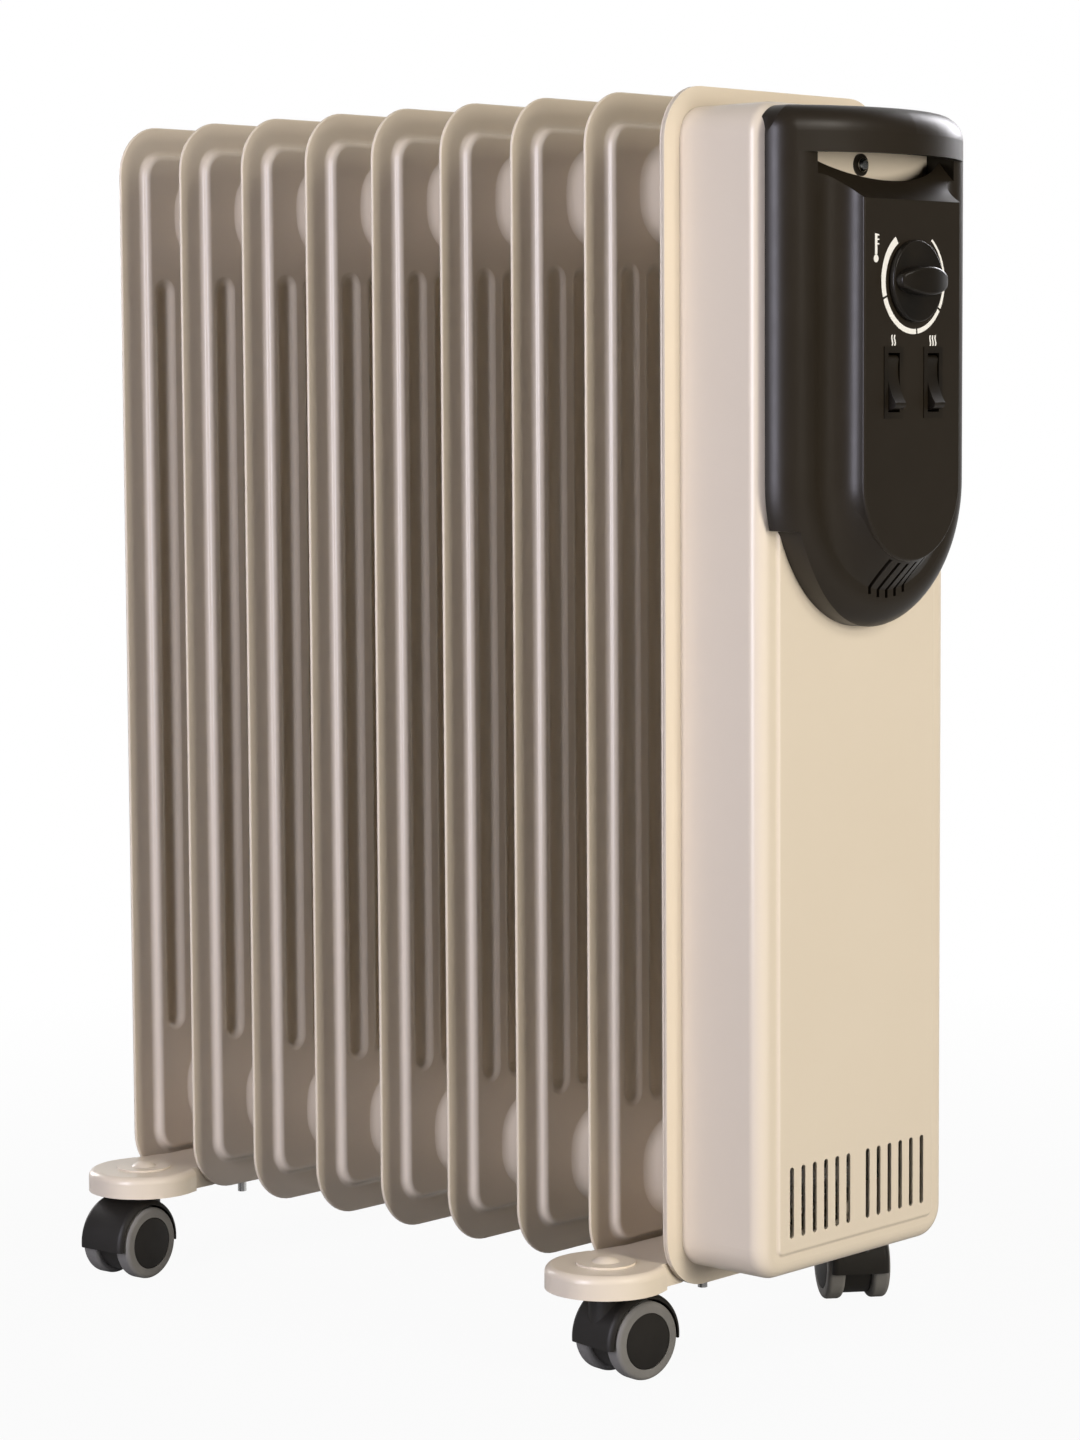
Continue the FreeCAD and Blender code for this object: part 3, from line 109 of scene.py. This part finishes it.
# Plastics by slot: colour, worn colour, roughness, scale and strength of the grain
PLASTICS = {
    "console_plastic": (CONSOLE_BLACK, CONSOLE_BLACK_WORN, (0.36, 0.40), 1300.0, 0.08),
    "control_plastic": (CONTROL_BLACK, CONSOLE_BLACK, (0.28, 0.38), 1600.0, 0.05),
    "inner_plastic": (INNER_WHITE, CREAM_SHADE, (0.45, 0.6), 900.0, 0.08),
    "caster_plastic": (CASTER_BLACK, CASTER_BLACK_WORN, (0.48, 0.58), 1400.0, 0.08),
    "dark_steel": (CONTROL_BLACK, CONSOLE_BLACK, (0.4, 0.55), 900.0, 0.08),
    "seal_rubber": (CONTROL_BLACK, CASTER_BLACK, (0.6, 0.75), 1200.0, 0.1),
}

# Bare and plated metals by slot: colour, roughness
METALS = {
    "plated_steel": (PLATED, (0.16, 0.32)),
    "element_sheath": (SHEATH, (0.3, 0.5)),
}

# Places on the control face, read from the joints
JOINT_PLACES = {joint["name"]: Vector(joint["pos_m"]) for joint in frame["joints"]}
DIAL = JOINT_PLACES["thermostat_turn"]
FACE_X = DIAL.x
ROCKERS = {side: JOINT_PLACES["rocker_%s_press" % side] for side in ("left", "right")}

# Hub pressings: the full squared oval over each hub between two fins.
# The flare's pairs are the rise from the panel and how far the oval has drawn in, in millimetres.
FIN_COUNT = 9
HUB_INSET = 50.0 * MM
HUB_HALF_Y = 52.5 * MM
HUB_HALF_Z = 31.0 * MM
HUB_SQUARENESS = 2.6
HUB_NECK_NARROWING = 0.27
HUB_STEPS = 64
HUB_SEAT = 5.45 * MM
HUB_FLARE = ((0.0, 0.0), (0.3, 1.3), (1.0, 2.8), (2.3, 4.6), (4.4, 6.8), (9.0, 11.0), (14.0, 15.5),
             (19.55, 20.5))

# Printed marks, on and just above the control face
PRINT_RISE = 0.06 * MM
PRINT_SINK = 0.02 * MM
ARC_RADIUS = 25.8 * MM
ARC_THIN = 1.2 * MM
ARC_THICK = 3.9 * MM
ARC_START = 54.0
ARC_SWEEP = 290.0
ARC_GAPS = (0.298, 0.474, 0.739)
ARC_GAP_SHARE = 0.009
ARC_STEPS = 96
THERMOMETER_Y = -30.0 * MM
THERMOMETER_LOW = 10.5 * MM
THERMOMETER_HEIGHT = 12.0 * MM
THERMOMETER_WIDTH = 1.9 * MM
BULB_RADIUS = 1.9 * MM
BULB_STEPS = 20
TICK_LENGTH = 1.5 * MM
TICK_HEIGHT = 0.7 * MM
TICK_SHARES = (0.62, 0.8, 0.98)
BAR_RISE = 20.6 * MM
BAR_HEIGHT = 5.2 * MM
BAR_WIDTH = 1.0 * MM
BAR_PITCH = 2.1 * MM
BAR_SWAY = 0.35 * MM
BAR_STEPS = 12
HEAT_BARS = {"left": 2, "right": 3}

# Floor and backdrop
FLOOR_SIZE = 40.0
FLOOR_PAPER = (0.30, 0.30, 0.295)
FLOOR_WHITE_NEAR = 0.95
FLOOR_FADE_FROM = 0.35
FLOOR_FADE_TO = 1.1
ROOM_LIGHT = 0.02
ROOM_TINT = (0.94, 0.95, 1.0)
BACKDROP_WAY = (-0.68, 0.73, 0.0)
BACKDROP_DIM = 0.12
BACKDROP_FROM = 0.45
BACKDROP_TO = 1.0

# Lamps, all turned to one point: place, width, height, watts, tint, whether gloss shows the lamp
LAMP_AIM = Vector((0.0, 0.0, 0.35))
FRONT_TINT = (0.985, 0.935, 0.858)
LAMPS = {
    "front_box": ((2.75, -0.11, 1.95), 0.8, 0.9, 24.5, FRONT_TINT, True),
    "front_fill": ((2.4, -0.1, 0.62), 0.6, 0.9, 39.5, FRONT_TINT, False),
    "side_box": ((0.10, -2.0, 0.75), 0.58, 1.4, 35.2, (0.885, 0.876, 1.03), True),
    "rim_box": ((-0.15, 2.6, 1.5), 0.8, 1.2, 36.0, (0.96, 0.95, 1.0), True),
    "back_box": ((-2.7, 0.3, 1.0), 0.8, 1.2, 30.0, (0.98, 0.95, 0.95), True),
    "top_box": ((-0.1, -0.06, 2.4), 0.7, 0.5, 5.0, (1.0, 0.95, 0.86), False),
}


# Node helpers

def opaque(colour):
    return (*colour, 1.0)


class Tree:
    """A node tree with short calls for adding and linking nodes."""

    def __init__(self, tree):
        self.nodes = tree.nodes
        self.links = tree.links
        self.nodes.clear()

    def add(self, kind, **values):
        node = self.nodes.new(kind)
        for name, value in values.items():
            setattr(node, name, value)
        return node

    def link(self, source, target):
        self.links.new(source, target)

    def place(self, kind):
        return self.add("ShaderNodeTexCoord").outputs[kind]

    def ray(self, kind):
        return self.add("ShaderNodeLightPath").outputs["Is %s Ray" % kind]

    def math(self, operation, first, second):
        node = self.add("ShaderNodeMath", operation=operation)
        self.link(first, node.inputs[0])
        self.link(second, node.inputs[1])
        return node.outputs[0]

    def noise(self, place, scale, detail):
        node = self.add("ShaderNodeTexNoise")
        node.inputs["Scale"].default_value = scale
        node.inputs["Detail"].default_value = detail
        self.link(place, node.inputs["Vector"])
        return node.outputs["Fac"]

    def spread(self, value, low, high, from_low=NOISE_LOW, from_high=NOISE_HIGH):
        node = self.add("ShaderNodeMapRange")
        node.inputs["From Min"].default_value = from_low
        node.inputs["From Max"].default_value = from_high
        node.inputs["To Min"].default_value = low
        node.inputs["To Max"].default_value = high
        self.link(value, node.inputs["Value"])
        return node.outputs["Result"]

    def blend(self, share, first, second):
        node = self.add("ShaderNodeMix", data_type="RGBA")
        ends = {"A": first, "B": second}
        for socket in node.inputs:
            if socket.type == "RGBA" and socket.name in ends:
                socket.default_value = opaque(ends[socket.name])
        self.link(share, node.inputs[0])
        return [out for out in node.outputs if out.type == "RGBA"][0]

    def bump(self, height, strength, depth):
        node = self.add("ShaderNodeBump")
        node.inputs["Strength"].default_value = strength
        node.inputs["Distance"].default_value = depth
        self.link(height, node.inputs["Height"])
        return node.outputs["Normal"]


class Surface:
    """A new material whose colour, gloss and relief vary over the object."""

    def __init__(self, name):
        self.material = bpy.data.materials.new(name)
        self.material.use_nodes = True
        self.tree = Tree(self.material.node_tree)
        out = self.tree.add("ShaderNodeOutputMaterial")
        self.shader = self.tree.add("ShaderNodeBsdfPrincipled")
        self.tree.link(self.shader.outputs["BSDF"], out.inputs["Surface"])
        self.place = self.tree.place("Object")

    def set(self, socket, value):
        self.shader.inputs[socket].default_value = value

    def colour(self, first, second, noise):
        share = self.tree.spread(self.tree.noise(self.place, *noise), 0.0, 1.0)
        self.tree.link(self.tree.blend(share, first, second), self.shader.inputs["Base Color"])

    def gloss(self, roughness, noise):
        uneven = self.tree.spread(self.tree.noise(self.place, *noise), *roughness)
        self.tree.link(uneven, self.shader.inputs["Roughness"])

    def relief(self, strength, depth, noise):
        height = self.tree.noise(self.place, *noise)
        self.tree.link(self.tree.bump(height, strength, depth), self.shader.inputs["Normal"])


# Materials

def cream_paint():
    """Satin powder coat: faint mottle in the colour, fine orange peel."""
    paint = Surface("cream_paint")
    paint.colour(CREAM, CREAM_SHADE, PAINT_MOTTLE)
    paint.gloss(PAINT_ROUGHNESS, PAINT_CLOUD)
    paint.relief(*PAINT_RELIEF, PAINT_PEEL)
    paint.set("Specular IOR Level", PAINT_SHEEN)
    return paint.material


def moulded(name, colour, worn, roughness, grain_scale, grain_strength):
    """Moulded plastic with a fine grain and slightly uneven sheen."""
    plastic = Surface(name)
    plastic.colour(colour, worn, PLASTIC_MOTTLE)
    plastic.gloss(roughness, PLASTIC_CLOUD)
    plastic.relief(grain_strength, PLASTIC_RELIEF_DEPTH, (grain_scale, PLASTIC_GRAIN_DETAIL))
    plastic.set("Specular IOR Level", PLASTIC_SHEEN)
    return plastic.material


def tyre_rubber():
    """Matt grey rubber with a fine grain."""
    rubber = Surface("tyre_grey")
    rubber.colour(TYRE_GREY, TYRE_GREY_DARK, RUBBER_MOTTLE)
    rubber.gloss(RUBBER_ROUGHNESS, RUBBER_CLOUD)
    rubber.relief(*RUBBER_RELIEF, RUBBER_GRAIN)
    return rubber.material


def metal(name, colour, roughness):
    """Plated or bare steel with a fine uneven finish."""
    steel = Surface(name)
    steel.colour(colour, [METAL_DULLING * part for part in colour], METAL_MOTTLE)
    steel.gloss(roughness, METAL_CLOUD)
    steel.set("Metallic", 1.0)
    return steel.material


def white_ink():
    """White print that is a little thin in places."""
    ink = Surface("print_white")
    ink.colour(INK_WHITE, [INK_THINNING * part for part in INK_WHITE], INK_MOTTLE)
    ink.set("Roughness", INK_ROUGHNESS)
    return ink.material


def slot_materials():
    """One material for each slot that the record names."""
    materials = {"cream_paint": cream_paint(), "tyre_grey": tyre_rubber()}
    for slot, values in PLASTICS.items():
        materials[slot] = moulded(slot, *values)
    for slot, values in METALS.items():
        materials[slot] = metal(slot, *values)
    return materials


def dress_nodes(materials):
    """Give every carried-over node its slot's material."""
    for row in frame["record"]["subparts"]:
        mesh = frame["nodes"][row["node"]].data
        mesh.materials.clear()
        mesh.materials.append(materials[row["material_slot"]])
        mesh.polygons.foreach_set("material_index", [0] * len(mesh.polygons))


def new_piece(name, vertices, faces, material):
    """A mesh object in the scene, with one material."""
    mesh = bpy.data.meshes.new(name)
    mesh.from_pydata(vertices, [], faces)
    mesh.materials.append(material)
    piece = bpy.data.objects.new(name, mesh)
    bpy.context.scene.collection.objects.link(piece)
    return piece


# Hubs between the fins

def squared(share):
    """A cosine or sine, drawn out so that an ellipse turns into a squared oval."""
    return math.copysign(abs(share) ** (2 / HUB_SQUARENESS), share)


def hub_ring(x, z, draw_in):
    """One squared oval round a hub."""
    half_y = HUB_HALF_Y - draw_in
    half_z = HUB_HALF_Z - HUB_NECK_NARROWING * draw_in
    ring = []
    for step in range(HUB_STEPS):
        turn = 2 * math.pi * step / HUB_STEPS
        ring.append((x, half_y * squared(math.cos(turn)), z + half_z * squared(math.sin(turn))))
    return ring


def hub_skin(vertices, faces, fin_x, side, z):
    """One pressing, from a plate's panel to the middle of the gap."""
    first = len(vertices)
    for rise, draw_in in HUB_FLARE:
        vertices += hub_ring(fin_x + side * (HUB_SEAT + rise * MM), z, draw_in * MM)
    for ring in range(len(HUB_FLARE) - 1):
        for step in range(HUB_STEPS):
            after = (step + 1) % HUB_STEPS
            low = first + ring * HUB_STEPS
            quad = [low + step, low + after, low + HUB_STEPS + after, low + HUB_STEPS + step]
            faces.append(quad if side > 0 else quad[::-1])


def hub_skins(material):
    """The pressings on both plates of every gap, at the top and the bottom."""
    low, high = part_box("fin_2")
    pitch = high[0] - low[0]
    second = (low[0] + high[0]) / 2
    vertices = []
    faces = []
    for gap in range(FIN_COUNT - 1):
        rear_fin = second + (gap - 1) * pitch
        for z in (low[2] + HUB_INSET, high[2] - HUB_INSET):
            hub_skin(vertices, faces, rear_fin, 1, z)
            hub_skin(vertices, faces, rear_fin + pitch, -1, z)
    piece = new_piece("hub_pressings", vertices, faces, material)
    piece.data.polygons.foreach_set("use_smooth", [True] * len(faces))
    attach(piece, "radiator")


# Printed marks

def printed(name, outlines, material):
    """A thin print on the control face, from closed outlines of (y, z) points."""
    vertices = []
    faces = []
    for outline in outlines:
        count = len(outline)
        first = len(vertices)
        for x in (FACE_X - PRINT_SINK, FACE_X + PRINT_RISE):
            vertices += [(x, y, z) for y, z in outline]
        faces.append([first + count + k for k in range(count)])
        faces.append([first + k for k in reversed(range(count))])
        for k in range(count):
            after = (k + 1) % count
            faces.append([first + k, first + after, first + count + after, first + count + k])
    piece = new_piece(name, vertices, faces, material)
    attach(piece, "radiator")


def dial_point(radius, share):
    """A point on the dial, from the thin end of its arc clockwise to the thick end."""
    turn = math.radians(ARC_START - ARC_SWEEP * share)
    return DIAL.y + radius * math.cos(turn), DIAL.z + radius * math.sin(turn)


def dial_stretch(start, end):
    """One stretch of the arc between two gaps, thicker towards its end."""
    steps = max(2, round(ARC_STEPS * (end - start)))
    shares = [start + (end - start) * k / steps for k in range(steps + 1)]
    outer = [dial_point(ARC_RADIUS, share) for share in shares]
    inner = [dial_point(ARC_RADIUS - ARC_THIN - (ARC_THICK - ARC_THIN) * share, share) for share in shares]
    return inner + outer[::-1]


def dial_scale(material):
    """The arc round the knob, cut by its gaps."""
    ends = [0.0]
    for gap in ARC_GAPS:
        ends += [gap - ARC_GAP_SHARE / 2, gap + ARC_GAP_SHARE / 2]
    ends.append(1.0)
    stretches = [dial_stretch(start, end) for start, end in zip(ends[::2], ends[1::2])]
    printed("dial_scale", stretches, material)


def bar(y, z, width, height):
    """A plain upright rectangle on its foot's middle."""
    half = width / 2
    return [(y - half, z), (y + half, z), (y + half, z + height), (y - half, z + height)]


def wavy_bar(y, z):
    """One upright heat wave, a full turn of a sine tall."""
    left = []
    right = []
    for step in range(BAR_STEPS + 1):
        share = step / BAR_STEPS
        middle = y + BAR_SWAY * math.sin(2 * math.pi * share)
        left.append((middle - BAR_WIDTH / 2, z + BAR_HEIGHT * share))
        right.append((middle + BAR_WIDTH / 2, z + BAR_HEIGHT * share))
    return right + left[::-1]


def heat_bars(side, count, material):
    """The heat waves over one switch."""
    place = ROCKERS[side]
    outlines = []
    for index in range(count):
        y = place.y + (index - (count - 1) / 2) * BAR_PITCH
        outlines.append(wavy_bar(y, place.z + BAR_RISE - BAR_HEIGHT / 2))
    printed("heat_bars_" + side, outlines, material)


def thermometer(material):
    """A stem on a round bulb, with short ticks beside its upper half."""
    y = THERMOMETER_Y
    low = DIAL.z + THERMOMETER_LOW
    bulb = []
    for step in range(BULB_STEPS):
        turn = 2 * math.pi * step / BULB_STEPS
        bulb.append((y + BULB_RADIUS * math.cos(turn), low + BULB_RADIUS * math.sin(turn)))
    stem = bar(y, low + BULB_RADIUS, THERMOMETER_WIDTH, THERMOMETER_HEIGHT - BULB_RADIUS)
    outlines = [bulb, stem]
    tick_y = y + (THERMOMETER_WIDTH + TICK_LENGTH) / 2
    for share in TICK_SHARES:
        tick_z = low + THERMOMETER_HEIGHT * share - TICK_HEIGHT
        outlines.append(bar(tick_y, tick_z, TICK_LENGTH, TICK_HEIGHT))
    printed("thermometer_mark", outlines, material)


def print_marks():
    material = white_ink()
    dial_scale(material)
    thermometer(material)
    for side, count in HEAT_BARS.items():
        heat_bars(side, count, material)


# Stage

def floor():
    """A wide square of paper at floor height."""
    half = FLOOR_SIZE / 2
    corners = [(-half, -half, 0), (half, -half, 0), (half, half, 0), (-half, half, 0)]
    plane = new_piece("floor", corners, [(0, 1, 2, 3)], floor_material())


def floor_material():
    """White paper that keeps the shadow near the object and fades to plain white."""
    material = bpy.data.materials.new("floor_paper")
    material.use_nodes = True
    tree = Tree(material.node_tree)
    out = tree.add("ShaderNodeOutputMaterial")
    paper = tree.add("ShaderNodeBsdfDiffuse")
    paper.inputs["Color"].default_value = opaque(FLOOR_PAPER)
    white = tree.add("ShaderNodeEmission")
    place = tree.place("Object")
    length = tree.add("ShaderNodeVectorMath", operation="LENGTH")
    tree.link(place, length.inputs[0])
    fade = tree.spread(length.outputs["Value"], FLOOR_WHITE_NEAR, 1.0, FLOOR_FADE_FROM, FLOOR_FADE_TO)
    shown = tree.math("MULTIPLY", fade, paper_strength(tree, place))
    mix = tree.add("ShaderNodeMixShader")
    tree.link(tree.math("MULTIPLY", shown, mirror_rays(tree)), mix.inputs[0])
    tree.link(paper.outputs[0], mix.inputs[1])
    tree.link(white.outputs[0], mix.inputs[2])
    tree.link(mix.outputs[0], out.inputs["Surface"])
    return material


def mirror_rays(tree):
    """One for rays from the camera, from gloss or through glass, else nought."""
    plain = tree.math("MAXIMUM", tree.ray("Camera"), tree.ray("Glossy"))
    return tree.math("MAXIMUM", plain, tree.ray("Transmission"))


def paper_strength(tree, place):
    """White paper to the camera; to a reflection it is white behind the object and dim in front."""
    heading = tree.add("ShaderNodeVectorMath", operation="NORMALIZE")
    tree.link(place, heading.inputs[0])
    way = tree.add("ShaderNodeVectorMath", operation="DOT_PRODUCT")
    tree.link(heading.outputs[0], way.inputs[0])
    way.inputs[1].default_value = BACKDROP_WAY
    mirrored = tree.spread(way.outputs["Value"], BACKDROP_DIM, 1.0, BACKDROP_FROM, BACKDROP_TO)
    return tree.math("MAXIMUM", tree.ray("Camera"), mirrored)


def world():
    """A faint room light, and white paper wherever the camera or gloss looks."""
    sky = bpy.data.worlds.new("studio")
    bpy.context.scene.world = sky
    sky.use_nodes = True
    tree = Tree(sky.node_tree)
    out = tree.add("ShaderNodeOutputWorld")
    room = tree.add("ShaderNodeBackground")
    room.inputs["Color"].default_value = opaque(ROOM_TINT)
    room.inputs["Strength"].default_value = ROOM_LIGHT
    paper = tree.add("ShaderNodeBackground")
    paper.inputs["Color"].default_value = opaque(WHITE)
    tree.link(paper_strength(tree, tree.place("Generated")), paper.inputs["Strength"])
    mix = tree.add("ShaderNodeMixShader")
    tree.link(mirror_rays(tree), mix.inputs[0])
    tree.link(room.outputs[0], mix.inputs[1])
    tree.link(paper.outputs[0], mix.inputs[2])
    tree.link(mix.outputs[0], out.inputs["Surface"])


def soft_box(name, place, width, height, watts, tint, in_gloss):
    """A rectangular lamp that faces the object."""
    light = bpy.data.lights.new(name, "AREA")
    light.shape = "RECTANGLE"
    light.size = width
    light.size_y = height
    light.energy = watts
    light.color = tint
    lamp = bpy.data.objects.new(name, light)
    lamp.location = place
    lamp.rotation_euler = (LAMP_AIM - Vector(place)).to_track_quat("-Z", "Y").to_euler()
    lamp.visible_glossy = in_gloss
    bpy.context.scene.collection.objects.link(lamp)


def lights():
    for name, values in LAMPS.items():
        soft_box(name, *values)


def camera():
    """The fitted camera, on its own azimuth and elevation round the target."""
    azimuth = math.radians(CAMERA_AZIMUTH)
    elevation = math.radians(CAMERA_ELEVATION)
    level = math.cos(elevation)
    back = Vector((math.sin(azimuth) * level, -math.cos(azimuth) * level, math.sin(elevation)))
    right = Vector((0, 0, 1)).cross(back).normalized()
    up = back.cross(right)
    turn = Matrix((right, up, back)).transposed().to_4x4()
    roll = Matrix.Rotation(math.radians(CAMERA_ROLL), 4, "Z")
    data = bpy.data.cameras.new("camera")
    data.sensor_width = SENSOR
    data.lens = FOCAL_PIXELS * SENSOR / PHOTO_LONG_SIDE
    eye = bpy.data.objects.new("camera", data)
    eye.matrix_world = Matrix.Translation(CAMERA_TARGET + back * CAMERA_DISTANCE) @ turn @ roll
    bpy.context.scene.collection.objects.link(eye)
    bpy.context.scene.camera = eye


bpy.context.scene.view_settings.view_transform = "Standard"
finishes = slot_materials()
dress_nodes(finishes)
hub_skins(finishes["cream_paint"])
print_marks()
floor()
world()
lights()
camera()
